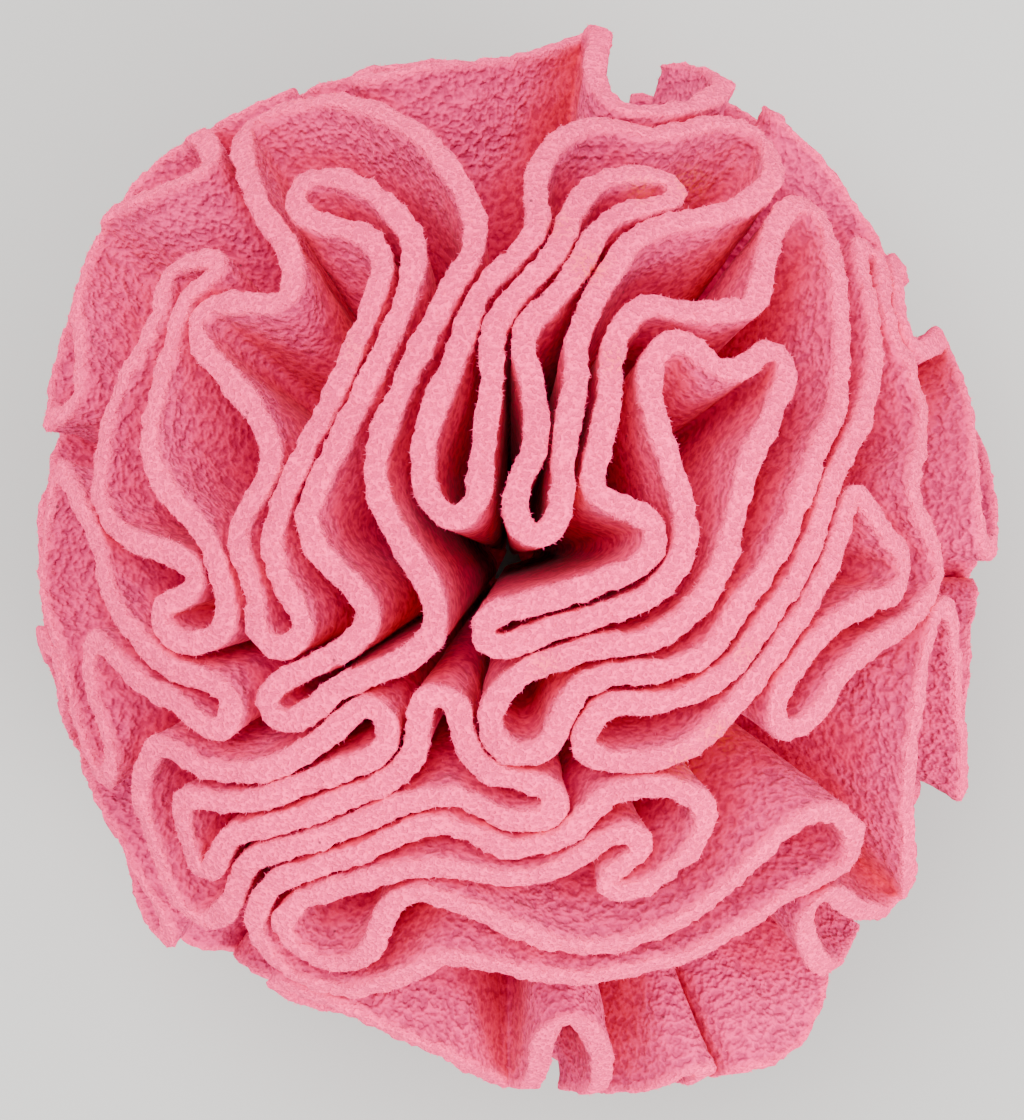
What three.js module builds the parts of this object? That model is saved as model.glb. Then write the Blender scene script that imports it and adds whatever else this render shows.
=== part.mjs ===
import * as THREE from "three";

// A ruffled fleece ball: round pieces of fleece, each gathered at its middle in the heart of the ball.
// The rim of each piece comes out on the skin of the ball as one closed, meandering edge.

// Ball, in millimetres from its centre.
const HALF_EAST = 67;
const HALF_NORTH = 73;
const HALF_HIGH = 58;
const FLAT_SPOT_DEPTH = 54;

// Fleece, and the air between two layers of it.
const FLEECE = 3.2;
const CLEARANCE = 0.3;

// The folds close up in the heart of the ball, where the gathered middle of each piece lies.
const FOLD_FLOOR = 22;
const GATHERED_END = 11;

// The rims lie unevenly: how far they rise over the skin, as a share of it, and how the lumps follow on
// each other.
const LUMP_RISE = 0.016;
const LUMPS = {
  east: { pace: 5.1, shift: 1.3 },
  north: { pace: 4.3, shift: 0.4 },
  up: { pace: 6.2, slant: 2.2 },
};

// Corners of a folded wall: longest mitre inside a bend and outside it, in half widths of the fleece.
const LONGEST_MITRE = 2;
const OUTER_MITRE = 1.06;

// The ruffles round the widest part of the ball stand out past its skin or fall short of it. A row is a
// compass bearing and how far the rims reach there, as a share of the skin. Over the shoulder of the ball,
// between the two heights, this fades out.
const RUFFLES = [
  { bearing: 0, reach: 0.97 },
  { bearing: 10, reach: 1.05 },
  { bearing: 35, reach: 1.0 },
  { bearing: 45, reach: 0.985 },
  { bearing: 60, reach: 1.01 },
  { bearing: 90, reach: 1.035 },
  { bearing: 100, reach: 0.99 },
  { bearing: 110, reach: 1.01 },
  { bearing: 120, reach: 1.07 },
  { bearing: 140, reach: 1.02 },
  { bearing: 150, reach: 1.13 },
  { bearing: 160, reach: 1.08 },
  { bearing: 180, reach: 1.01 },
  { bearing: 200, reach: 0.95 },
  { bearing: 220, reach: 1.08 },
  { bearing: 235, reach: 1.01 },
  { bearing: 260, reach: 1.035 },
  { bearing: 280, reach: 1.01 },
  { bearing: 300, reach: 1.08 },
  { bearing: 315, reach: 1.1 },
  { bearing: 330, reach: 1.03 },
  { bearing: 350, reach: 0.98 },
];
const FULL_TURN = 360;
const SHOULDER_TOP = 28;
const SHOULDER_FOOT = 8;

// Plan of the crown: outline of the ball as seen from above, and the height of the eye over its centre.
const OUTLINE_EAST = 60.5;
const OUTLINE_NORTH = 66;
const EYE_HEIGHT = 450;
const FAR_SIDE_TURN = THREE.MathUtils.degToRad(110);

// Points of an edge, in millimetres.
const STEP = 1.6;
const CURVE_DIVISIONS = 24;
const CROWN_TOLERANCE = 0.14;
const SIDE_TOLERANCE = 0.32;
const TIGHTEST_RADIUS = 2.2;
const SHARPEST_BEND = (STEP * STEP) / 2 / TIGHTEST_RADIUS;

// Settling of the folds: how wide a layer is kept, and how strongly a round moves the points.
const SETTLING_MARGIN = 0.34;
const LAYER_PITCH = FLEECE + CLEARANCE + SETTLING_MARGIN;
const CELLS_ACROSS = 128;
const ROUNDS = 300;
const RESPACE_EVERY = 30;
const NEAR_ALONG_EDGE = 4;
const PUSH_SHARE = 0.4;
const MOST_PER_ROUND = 0.8;
const EVENING = 0.4;
const ROUNDING = 0.5;
const HOLD = 0.06;
const HELD_SHARE = 0.75;

// A hidden piece starts closed up round its middle, opens out, and gives way to the pieces that show.
const CLOSED_UP = 0.4;
const OPENING_SHARE = 0.55;
const HIDDEN_SHARE = 0.35;
const PLACES_PER_FOLD = 8;
const UNEVEN_FOLDS = 0.1;

// The folds that show from above. A row is one run of the edge from turn to turn, and the edge goes on
// from the end of one row to the start of the next. East and north are millimetres in the plan.
const SEEN_PIECES = {
  fleece_left_crown: [
    { from: [-32.5, 54], over: [-24, 57.5], to: [-11.5, 54.5] },
    { from: [-5.5, 47], over: [-4.5, 41.5], to: [-9, 32] },
    { from: [-14, 23], over: [-17.5, 14.5], to: [-17.5, 8] },
    { from: [-14.5, 2], over: [-10.5, -4], to: [-10, -10.5] },
    { from: [-14, -14], over: [-20.5, -16.5], to: [-26.5, -21] },
    { from: [-30.5, -21.5], over: [-32, -18.5], to: [-29.5, -15.5] },
    { from: [-25, -13.5], over: [-19.5, -10.5], to: [-18.5, -7.5] },
    { from: [-20.5, -4.5], over: [-26, 1], to: [-28, 6] },
    { from: [-25, 12], over: [-20.5, 20], to: [-16, 29] },
    { from: [-13, 36.5], over: [-13, 42.5], to: [-17.5, 47] },
    { from: [-23.5, 49], over: [-28, 47], to: [-25.5, 43] },
    { from: [-20.5, 43], over: [-16.5, 39.5], to: [-18.5, 33] },
    { from: [-22, 25], over: [-26, 17.5], to: [-30, 9.5] },
    { from: [-32, 2], over: [-30.5, -3.5], to: [-27.5, -7.5] },
    { from: [-27, -11], over: [-30, -13.5], to: [-33, -10.5] },
    { from: [-34, -4], over: [-36, 3], to: [-32.5, 9] },
    { from: [-31, 13], over: [-34, 19.5], to: [-38, 24.5] },
    { from: [-41, 29], over: [-39.5, 33], to: [-34, 33] },
    { from: [-29, 34], over: [-28.5, 39], to: [-32, 45] },
  ],
  fleece_north_crown: [
    { from: [19, 55.5], over: [11, 57], to: [5, 53.5] },
    { from: [4, 47.5], over: [4.5, 43], to: [0.5, 39] },
    { from: [-4.5, 34.5], over: [-7, 26.5], to: [-10.5, 17.5] },
    { from: [-11.5, 12.5], over: [-11, 8], to: [-8.5, 5] },
    { from: [-6, 5], over: [-4, 8], to: [-3.5, 13] },
    { from: [-3, 17.5], over: [-2, 24.5], to: [-1.5, 30] },
    { from: [2, 35], over: [6, 39.5], to: [8, 45] },
    { from: [11, 49.5], over: [16, 50.5], to: [22, 49.5] },
    { from: [22, 47], over: [16.5, 46], to: [11.5, 43.5] },
    { from: [8.5, 39], over: [5.5, 34.5], to: [1.5, 30] },
    { from: [1.5, 25.5], over: [3.5, 20], to: [3.5, 14] },
    { from: [1, 9], over: [1, 4], to: [3.5, 2] },
    { from: [6, 4], over: [6.5, 11], to: [7, 17] },
    { from: [8.5, 22.5], over: [8.5, 28], to: [11, 34] },
    { from: [13.5, 39], over: [17.5, 43.5], to: [24.5, 45] },
    { from: [30, 46], over: [34, 49.5], to: [32.5, 53.5] },
    { from: [30, 55], over: [26, 56], to: [23, 56] },
  ],
  fleece_east_crown: [
    { from: [22.5, 32.5], over: [18, 33], to: [14.5, 29.5] },
    { from: [13, 24.5], over: [12.5, 18], to: [11, 12.5] },
    { from: [11, 8], over: [15.5, 6], to: [19, 4] },
    { from: [18.5, -0.5], over: [11, -4], to: [4, -6] },
    { from: [-2.5, -8], over: [-5.5, -10.5], to: [-2.5, -12.5] },
    { from: [5, -10], over: [12.5, -7.5], to: [18.5, -4.5] },
    { from: [22.5, 1.5], over: [22, 8], to: [20, 14.5] },
    { from: [18, 21], over: [18.5, 26.5], to: [22.5, 29] },
    { from: [25.5, 26], over: [28.5, 23.5], to: [32, 26] },
    { from: [35.5, 28.5], over: [37, 26], to: [35.5, 20] },
    { from: [31.5, 12.5], over: [29.5, 6.5], to: [28, 0] },
    { from: [25, -6], over: [18, -11], to: [11, -11.5] },
    { from: [5, -13.5], over: [0, -16.5], to: [-3, -21] },
    { from: [-2.5, -25], over: [1.5, -27.5], to: [5.5, -26] },
    { from: [7, -21.5], over: [9, -17.5], to: [14, -15.5] },
    { from: [21, -15.5], over: [27.5, -12], to: [30.5, -6] },
    { from: [35, 0], over: [38, 7], to: [41, 13.5] },
    { from: [43.5, 19], over: [44.5, 25], to: [44, 32] },
    { from: [43, 38], over: [41, 43.5], to: [38, 46] },
    { from: [35.5, 44.5], over: [34, 39.5], to: [31.5, 33] },
  ],
  fleece_east_side: [
    { from: [10, -23], over: [13, -19.5], to: [18.5, -19] },
    { from: [25, -17], over: [30.5, -12.5], to: [35, -7] },
    { from: [39, -1], over: [41.5, 5.5], to: [43.5, 12] },
    { from: [47, 18], over: [48.5, 24.5], to: [48.5, 31.5] },
    { from: [47, 36.5], over: [46.5, 40.5], to: [49, 38] },
    { from: [50.5, 33], over: [53.5, 26], to: [55, 18] },
    { from: [54.5, 13], over: [53, 10], to: [54.5, 5] },
    { from: [56.5, 1], over: [56.5, -4.5], to: [53, -9] },
    { from: [49, -11], over: [44.5, -13.5], to: [41, -18] },
    { from: [38, -22], over: [35.5, -23], to: [34, -21] },
    { from: [35, -16], over: [40, -10], to: [46, -6.5] },
    { from: [50.5, -5], over: [52.5, -1.5], to: [50.5, 2.5] },
    { from: [48, 6], over: [46, 9.5], to: [44.5, 6.5] },
    { from: [42.5, 1], over: [39.5, -5], to: [35, -11] },
    { from: [30.5, -17], over: [25.5, -23.5], to: [19.5, -27] },
    { from: [15, -27.5], over: [11.5, -27], to: [9.5, -25.5] },
  ],
  fleece_south_crown: [
    { from: [-32.5, -47.5], over: [-27.5, -54], to: [-20, -56] },
    { from: [-14, -54.5], over: [-8.5, -52.5], to: [-2.5, -53.5] },
    { from: [5, -55], over: [14, -54.5], to: [22.5, -52.5] },
    { from: [31, -48], over: [38, -43.5], to: [44, -39.5] },
    { from: [44.5, -35.5], over: [41, -33], to: [36.5, -35] },
    { from: [31.5, -40.5], over: [26.5, -45.5], to: [20, -49.5] },
    { from: [12.5, -51.5], over: [5, -51], to: [-1, -48.5] },
    { from: [-7, -46], over: [-12.5, -44], to: [-16, -46] },
    { from: [-17.5, -50.5], over: [-20.5, -52.5], to: [-26, -51] },
    { from: [-29.5, -48], over: [-29, -44.5], to: [-24.5, -43] },
    { from: [-19, -42], over: [-11.5, -41], to: [-5, -42] },
    { from: [1, -43.5], over: [7.5, -41.5], to: [12.5, -37.5] },
    { from: [16.5, -36.5], over: [18.5, -38.5], to: [16, -41] },
    { from: [13, -42], over: [11.5, -44], to: [15, -45] },
    { from: [20, -42.5], over: [24, -39], to: [26, -35] },
    { from: [25, -31.5], over: [20.5, -30], to: [15.5, -30.5] },
    { from: [12, -32.5], over: [9.5, -36], to: [5.5, -38.5] },
    { from: [0, -39], over: [-5.5, -36.5], to: [-12, -35] },
    { from: [-18, -37.5], over: [-25, -39.5], to: [-30, -41] },
  ],
  fleece_south_west: [
    { from: [-44.5, -24], over: [-38, -27.5], to: [-31, -28.5] },
    { from: [-25.5, -25.5], over: [-22, -21.5], to: [-18.5, -19.5] },
    { from: [-15.5, -22.5], over: [-17, -27], to: [-24, -29] },
    { from: [-30.5, -31], over: [-37, -31.5], to: [-41.5, -30] },
    { from: [-41, -34.5], over: [-40, -38], to: [-39, -41] },
    { from: [-37, -40.5], over: [-35.5, -36], to: [-30.5, -35] },
    { from: [-22.5, -32.5], over: [-15.5, -30], to: [-12.5, -26] },
    { from: [-12.5, -20.5], over: [-9.5, -17.5], to: [-6.5, -20.5] },
    { from: [-6, -25.5], over: [-3, -29], to: [2.5, -30] },
    { from: [6, -31], over: [7, -33.5], to: [4.5, -35.5] },
    { from: [-1, -35.5], over: [-7.5, -32], to: [-14, -32.5] },
    { from: [-21, -35], over: [-28, -37], to: [-33, -38.5] },
    { from: [-34, -41.5], over: [-35.5, -45], to: [-39, -46] },
    { from: [-42, -43], over: [-45, -36.5], to: [-46.5, -29.5] },
  ],
  fleece_west_crown: [
    { from: [-41, 33], over: [-43, 29], to: [-45.5, 21] },
    { from: [-46.5, 14.5], over: [-45, 9], to: [-40.5, 3] },
    { from: [-38, -2.5], over: [-36.5, -7], to: [-38, -11] },
    { from: [-42.5, -11], over: [-45.5, -8.5], to: [-45, -6] },
    { from: [-42, -5.5], over: [-40, -3], to: [-42, -0.5] },
    { from: [-46.5, 1], over: [-51, 3], to: [-53, 8] },
    { from: [-52, 14.5], over: [-50, 22], to: [-46, 29] },
    { from: [-44.5, 33], over: [-44, 36.5], to: [-40.5, 38] },
    { from: [-37, 38], over: [-34.5, 38.5], to: [-37, 36] },
  ],
  fleece_west_side: [
    { from: [-52.5, 3], over: [-51, -4], to: [-47.5, -10.5] },
    { from: [-43, -14.5], over: [-37.5, -16.5], to: [-35.5, -19.5] },
    { from: [-37, -22.5], over: [-40, -21], to: [-42, -18.5] },
    { from: [-46, -17], over: [-49.5, -13.5], to: [-53, -10.5] },
    { from: [-54, -14], over: [-52.5, -19], to: [-50.5, -26] },
    { from: [-52.5, -28.5], over: [-56.5, -20], to: [-58.5, -12] },
    { from: [-60, -4], over: [-59.5, 5], to: [-58, 11] },
  ],
  fleece_north_west: [
    { from: [-53, 31], over: [-49.5, 38.5], to: [-44.5, 43.5] },
    { from: [-41.5, 46], over: [-37.5, 49], to: [-40, 54] },
    { from: [-45, 51.5], over: [-53, 44.5], to: [-59.5, 35.5] },
    { from: [-61.5, 26], over: [-59.5, 18], to: [-55.5, 20] },
  ],
};

// The pieces of the sides and the underside. A row is one piece: the compass bearing of its middle, how far
// it lies below the equator, how far its folds spread, their number, how deep they run in, how far their
// tips lean over, and a first turn. All but number and depth are in degrees.
const HIDDEN_PIECES = {
  fleece_lower_north: { bearing: 8, below: 7, spread: 41, folds: 6, depth: 0.38, lean: 14, turn: 10 },
  fleece_lower_east: { bearing: 66, below: 13, spread: 42, folds: 6, depth: 0.38, lean: -10, turn: 60 },
  fleece_lower_south_east: { bearing: 124, below: 6, spread: 42, folds: 6, depth: 0.38, lean: 16, turn: 5 },
  fleece_lower_south: { bearing: 184, below: 4, spread: 40, folds: 6, depth: 0.38, lean: -14, turn: 25 },
  fleece_lower_west: { bearing: 243, below: 15, spread: 41, folds: 6, depth: 0.38, lean: 12, turn: 15 },
  fleece_lower_north_west: { bearing: 303, below: 19, spread: 38, folds: 6, depth: 0.4, lean: -16, turn: 30 },
  fleece_under_north: { bearing: 30, below: 60, spread: 36, folds: 6, depth: 0.36, lean: 12, turn: 0 },
  fleece_under_south: { bearing: 210, below: 60, spread: 36, folds: 6, depth: 0.36, lean: -12, turn: 20 },
};

const AXES = new THREE.Vector3(HALF_EAST, HALF_NORTH, HALF_HIGH);

function toSkin(point) {
  return point.divide(AXES).normalize().multiply(AXES);
}

// The angle from the crown at which a line of sight meets the ball. Past the outline, the plan runs on
// over the far side.
function angleFromCrown(reach) {
  const eye = EYE_HEIGHT / HALF_HIGH;
  const slope = Math.min(reach, 1) / Math.sqrt(eye * eye - 1);
  const squared = slope * slope;
  const root = Math.sqrt(Math.max(0, 1 + squared - squared * eye * eye));
  const height = (squared * eye + root) / (1 + squared);
  return Math.acos(height) + Math.max(0, reach - 1) * FAR_SIDE_TURN;
}

function seenPoint([east, north]) {
  const x = east / OUTLINE_EAST;
  const y = north / OUTLINE_NORTH;
  const reach = Math.hypot(x, y);
  const angle = angleFromCrown(reach);
  const side = Math.sin(angle) / reach;
  return new THREE.Vector3(x * side, y * side, Math.cos(angle)).multiply(AXES);
}

function seenEdge(rows) {
  return rows.flatMap((row) => [row.from, row.over, row.to]).map(seenPoint);
}

function hiddenMiddle(row) {
  const bearing = THREE.MathUtils.degToRad(row.bearing);
  const below = THREE.MathUtils.degToRad(row.below);
  const level = Math.cos(below);
  return new THREE.Vector3(Math.sin(bearing) * level, Math.cos(bearing) * level, -Math.sin(below));
}

// One point of a hidden edge, a share of the way round. The folds drift a little, so that no two are alike.
function hiddenPoint(row, share) {
  const even = share * 2 * Math.PI;
  const bearing = THREE.MathUtils.degToRad(row.bearing);
  const drift = Math.sin(2 * even + row.bearing);
  const swing = Math.cos(row.folds * even + drift + THREE.MathUtils.degToRad(row.turn));
  const around = even + THREE.MathUtils.degToRad(row.lean) * swing;
  const longer = 1 + UNEVEN_FOLDS * Math.sin(3 * even + bearing);
  const angle = THREE.MathUtils.degToRad(row.spread) * (1 - row.depth + row.depth * swing) * longer;
  const middle = hiddenMiddle(row);
  const right = new THREE.Vector3(Math.cos(bearing), -Math.sin(bearing), 0);
  const up = new THREE.Vector3().crossVectors(right, middle);
  const flat = right.multiplyScalar(Math.cos(around)).addScaledVector(up, Math.sin(around));
  return middle.multiplyScalar(Math.cos(angle)).addScaledVector(flat, Math.sin(angle)).multiply(AXES);
}

function hiddenEdge(row) {
  const count = row.folds * PLACES_PER_FOLD;
  return Array.from({ length: count }, (_, index) => hiddenPoint(row, index / count));
}

function evenly(points, step) {
  const curve = new THREE.CatmullRomCurve3(points, true, "centripetal");
  curve.arcLengthDivisions = points.length * CURVE_DIVISIONS;
  const count = Math.round(curve.getLength() / step);
  return curve.getSpacedPoints(count).slice(0, count).map(toSkin);
}

// Settling: every point of every edge keeps its layer's width clear of all others, and stays as near to its
// place as that lets it.
function cellKey(point) {
  const [x, y, z] = point.toArray().map((value) => Math.floor(value / LAYER_PITCH) + CELLS_ACROSS / 2);
  return (x * CELLS_ACROSS + y) * CELLS_ACROSS + z;
}

function sortIntoCells(points) {
  const cells = new Map();
  points.forEach((entry) => {
    const key = cellKey(entry.at);
    if (!cells.has(key)) {
      cells.set(key, []);
    }
    cells.get(key).push(entry);
  });
  return cells;
}

// How far the cells that touch a cell lie from it, the cell itself among them.
function cellsAround() {
  const ways = [-1, 0, 1];
  const rows = ways.flatMap((x) => ways.map((y) => (x * CELLS_ACROSS + y) * CELLS_ACROSS));
  return rows.flatMap((row) => ways.map((z) => row + z));
}

function tooNearAlongEdge(a, b) {
  if (a.edge !== b.edge) {
    return false;
  }
  const apart = Math.abs(a.index - b.index);
  return Math.min(apart, a.edge.length - apart) < NEAR_ALONG_EDGE;
}

function pushPair(a, b, gap) {
  gap.subVectors(a.at, b.at);
  const apart = gap.length();
  if (apart < LAYER_PITCH) {
    gap.multiplyScalar((PUSH_SHARE * (LAYER_PITCH - apart)) / apart);
    a.push.add(gap);
    b.push.sub(gap);
  }
}

function pushApart(points) {
  const cells = sortIntoCells(points);
  const around = cellsAround();
  const gap = new THREE.Vector3();
  for (const a of points) {
    const home = cellKey(a.at);
    for (const way of around) {
      for (const b of cells.get(home + way) ?? []) {
        if (b.order > a.order && !tooNearAlongEdge(a, b)) {
          pushPair(a, b, gap);
        }
      }
    }
  }
}

function edgeLength(edge) {
  return edge.reduce((sum, entry, index) => {
    return sum + entry.at.distanceTo(edge[(index + 1) % edge.length].at);
  }, 0);
}

function linkUp(edge, core) {
  edge.core = core;
  edge.forEach((entry, index) => {
    entry.index = index;
    entry.edge = edge;
    entry.push = new THREE.Vector3();
  });
  return edge;
}

// Spreads the points of an edge evenly along it again, each with its place carried along.
function respace(edge) {
  const whole = edgeLength(edge);
  const count = Math.round(whole / STEP);
  const pace = whole / count;
  const spread = [];
  let walked = 0;
  edge.forEach((entry, index) => {
    const next = edge[(index + 1) % edge.length];
    const length = entry.at.distanceTo(next.at);
    while (spread.length < count && spread.length * pace < walked + length) {
      const part = (spread.length * pace - walked) / length;
      const at = entry.at.clone().lerp(next.at, part);
      spread.push({ at, home: entry.home.clone().lerp(next.home, part) });
    }
    walked += length;
  });
  return linkUp(spread, edge.core);
}

// Halfway between the two neighbours of a point, seen from the point.
function towardsNeighbours(edge, index, key) {
  const before = edge[(index + edge.length - 1) % edge.length][key];
  const after = edge[(index + 1) % edge.length][key];
  return before.clone().add(after).multiplyScalar(0.5).sub(edge[index][key]);
}

// The place of a point. A hidden piece opens out from its middle while the folds settle.
function placeOf(entry, opened) {
  const core = entry.edge.core;
  return core ? toSkin(core.clone().lerp(entry.home, opened)) : entry.home;
}

// How far a point moves in a round: evened out and rounded off along its edge, pulled home and pushed clear.
function stepOf(entry, hold) {
  const even = towardsNeighbours(entry.edge, entry.index, "moved").multiplyScalar(EVENING);
  const round = towardsNeighbours(entry.edge, entry.index, "at");
  round.setLength(Math.max(0, round.length() - SHARPEST_BEND) * ROUNDING);
  const pull = entry.edge.core ? hold * HIDDEN_SHARE : hold;
  const push = entry.push.clampLength(0, MOST_PER_ROUND);
  return even.add(round).addScaledVector(entry.moved, -pull).add(push);
}

function oneRound(edges, hold, opened) {
  const points = edges.flatMap((edge) => edge);
  points.forEach((entry, order) => {
    entry.order = order;
    entry.moved = entry.at.clone().sub(placeOf(entry, opened));
  });
  pushApart(points);
  for (const entry of points) {
    entry.step = stepOf(entry, hold);
  }
  for (const entry of points) {
    toSkin(entry.at.add(entry.step));
    entry.push.set(0, 0, 0);
  }
}

function settle(outlines) {
  for (let round = 0; round < ROUNDS; round += 1) {
    const held = round < ROUNDS * HELD_SHARE;
    const opened = Math.min(1, CLOSED_UP + (1 - CLOSED_UP) * (round / (ROUNDS * OPENING_SHARE)));
    oneRound(Object.values(outlines), held ? HOLD : 0, opened);
    if (round % RESPACE_EVERY === 0) {
      for (const [name, edge] of Object.entries(outlines)) {
        outlines[name] = respace(edge);
      }
    }
  }
}

function makeEdge(points, core) {
  const edge = linkUp(evenly(points, STEP).map((home) => ({ home })), core);
  for (const entry of edge) {
    entry.at = placeOf(entry, CLOSED_UP).clone();
  }
  return edge;
}

// The point between two others that lies farthest off the line through them, if any is off it by more
// than the tolerance.
function farthestOff(points, start, end, tolerance) {
  const line = new THREE.Line3(points[start % points.length], points[end % points.length]);
  const foot = new THREE.Vector3();
  let worst = tolerance;
  let at = -1;
  for (let index = start + 1; index < end; index += 1) {
    line.closestPointToPoint(points[index], true, foot);
    const off = foot.distanceTo(points[index]);
    if (off > worst) {
      worst = off;
      at = index;
    }
  }
  return at;
}

// Leaves out the points of an edge that lie on a straight or nearly straight stretch, within a tolerance.
function keepBends(points, tolerance) {
  const middle = Math.floor(points.length / 2);
  const kept = new Set([0, middle]);
  const split = (start, end) => {
    const at = farthestOff(points, start, end, tolerance);
    if (at >= 0) {
      kept.add(at);
      split(start, at);
      split(at, end);
    }
  };
  split(0, middle);
  split(middle, points.length);
  return [...kept].sort((a, b) => a - b).map((index) => points[index]);
}

// Looking from straight outside onto the middle of an edge: lines stay lines, so the floor of a fold that
// is filled in here stays inside the edge.
function flatten(points) {
  const middle = points.reduce((sum, point) => sum.add(point), new THREE.Vector3()).normalize();
  const right = new THREE.Vector3(-middle.y, middle.x, 0).normalize();
  const up = new THREE.Vector3().crossVectors(middle, right);
  return points.map((point) => {
    const depth = point.dot(middle);
    return new THREE.Vector2(point.dot(right) / depth, point.dot(up) / depth);
  });
}

function unevenness(point) {
  const unit = point.clone().normalize();
  const across = Math.sin(LUMPS.east.pace * unit.x + LUMPS.east.shift);
  const along = Math.sin(LUMPS.north.pace * unit.y + LUMPS.north.shift);
  const upward = Math.sin(LUMPS.up.pace * unit.z + LUMPS.up.slant * unit.x);
  return 1 + LUMP_RISE * (across * along + upward);
}

// The reach of the ruffles at a compass bearing, between the two rows on either side of it.
function ruffleAt(bearing) {
  const after = RUFFLES.findIndex((row) => row.bearing > bearing);
  const next = after < 0 ? { ...RUFFLES[0], bearing: FULL_TURN } : RUFFLES[after];
  const last = RUFFLES.at(after < 0 ? -1 : after - 1);
  return THREE.MathUtils.mapLinear(bearing, last.bearing, next.bearing, last.reach, next.reach);
}

function ruffled(point) {
  const turned = THREE.MathUtils.radToDeg(Math.atan2(point.x, point.y));
  const bearing = THREE.MathUtils.euclideanModulo(turned, FULL_TURN);
  const share = 1 - THREE.MathUtils.smoothstep(point.z, SHOULDER_FOOT, SHOULDER_TOP);
  return 1 + (ruffleAt(bearing) - 1) * share;
}

// How far out a spot of an edge reaches. The ball stands on a flat spot.
function reachOut(point, aside) {
  const slope = point.z + (aside.z * (FLEECE + CLEARANCE)) / 2;
  const reach = unevenness(point) * ruffled(point);
  if (slope >= 0) {
    return reach;
  }
  const floor = (-FLAT_SPOT_DEPTH + (aside.z * CLEARANCE) / 2) / slope;
  return Math.min(reach, floor);
}

// A spot of a wall: part way in towards the heart of the ball, half the fleece to one side.
function wallSpot(point, aside, inward) {
  const half = ((FLEECE + CLEARANCE) / 2) * inward - CLEARANCE / 2;
  return point.clone().multiplyScalar(inward).addScaledVector(aside, half);
}

// The two sides of the wall at a bend, long enough to keep the width of the fleece round it.
function sidesAt(before, point, after) {
  const outward = point.clone().normalize();
  const first = new THREE.Vector3().crossVectors(outward, point.clone().sub(before)).normalize();
  const second = new THREE.Vector3().crossVectors(outward, after.clone().sub(point)).normalize();
  const turnsInward = first.clone().cross(second).dot(outward) > 0;
  const middle = first.add(second).normalize();
  const long = Math.min(1 / middle.dot(second), LONGEST_MITRE);
  const short = Math.min(long, OUTER_MITRE);
  const inner = middle.clone().multiplyScalar(turnsInward ? long : short);
  const outer = middle.clone().multiplyScalar(turnsInward ? -short : -long);
  return { inner, outer };
}

// The four rows of corners of a piece: the outer and inner edge of its rim, the floor of its folds and its
// gathered end.
function cornerRows(ring) {
  const rows = { edgeOut: [], edgeIn: [], floor: [], end: [] };
  ring.forEach((point, index) => {
    const before = ring[(index + ring.length - 1) % ring.length];
    const { inner, outer } = sidesAt(before, point, ring[(index + 1) % ring.length]);
    rows.edgeOut.push(wallSpot(point, outer, reachOut(point, outer)));
    rows.edgeIn.push(wallSpot(point, inner, reachOut(point, inner)));
    rows.floor.push(wallSpot(point, inner, FOLD_FLOOR / point.length()));
    rows.end.push(wallSpot(point, outer, GATHERED_END / point.length()));
  });
  return rows;
}

// Faces of a wall between two rows of corners, each row given by the number of its first corner.
function wallFaces(upper, lower, count) {
  return Array.from({ length: count }, (_, index) => {
    const next = (index + 1) % count;
    return [upper + index, lower + index, lower + next, upper + index, lower + next, upper + next];
  }).flat();
}

// Faces that fill in a row of corners.
function fillFaces(row, first) {
  const corners = THREE.ShapeUtils.triangulateShape(flatten(row), []);
  return corners.flat().map((corner) => first + corner);
}

function discGeometry(edge) {
  const ring = THREE.ShapeUtils.isClockWise(flatten(edge)) ? edge.slice().reverse() : edge;
  const { edgeOut, edgeIn, floor, end } = cornerRows(ring);
  const corners = [...edgeOut, ...edgeIn, ...floor, ...end];
  const count = ring.length;
  const faces = [
    ...wallFaces(0, 3 * count, count),
    ...wallFaces(count, 0, count),
    ...wallFaces(2 * count, count, count),
    ...fillFaces(floor, 2 * count),
    ...fillFaces(end, 3 * count).reverse(),
  ];
  const geometry = new THREE.BufferGeometry().setFromPoints(corners);
  geometry.setIndex(faces);
  geometry.computeVertexNormals();
  return geometry;
}

// Puts the origin under the middle of the ball, at the height of its flat spot.
function standOnOrigin(ball) {
  const box = new THREE.Box3().setFromObject(ball);
  const middle = box.getCenter(new THREE.Vector3());
  for (const piece of ball.children) {
    piece.position.set(-middle.x, -middle.y, -box.min.z);
  }
}

function makePiece(name, edge) {
  const material = new THREE.MeshStandardMaterial({ color: "#ec93a6", roughness: 0.95, metalness: 0 });
  material.name = "fleece";
  const tolerance = edge.core ? SIDE_TOLERANCE : CROWN_TOLERANCE;
  const bends = keepBends(edge.map((entry) => entry.at), tolerance);
  const piece = new THREE.Mesh(discGeometry(bends), material);
  piece.name = name;
  return piece;
}

function makeBall() {
  const outlines = {};
  for (const [name, rows] of Object.entries(SEEN_PIECES)) {
    outlines[name] = makeEdge(seenEdge(rows), null);
  }
  for (const [name, row] of Object.entries(HIDDEN_PIECES)) {
    outlines[name] = makeEdge(hiddenEdge(row), toSkin(hiddenMiddle(row).multiply(AXES)));
  }
  settle(outlines);
  const ball = new THREE.Group();
  ball.name = "snuffle_ball";
  ball.add(...Object.entries(outlines).map(([name, edge]) => makePiece(name, edge)));
  standOnOrigin(ball);
  return ball;
}

const snuffleBall = makeBall();

export default snuffleBall;
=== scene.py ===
# %% [markdown]
# # A snuffle ball of ruffled fleece
#
# The real thing is a ball of round fleece pieces. Each is gathered at its middle in the heart of the
# ball, and its rim comes out on the skin as one closed, meandering edge. Dry food is dropped between the
# folds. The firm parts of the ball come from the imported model, which holds the true run of every fold.
# This file lays a fine sheet of fleece on each of them, then adds the nap, the colours, the light and the
# camera.

import math

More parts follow.
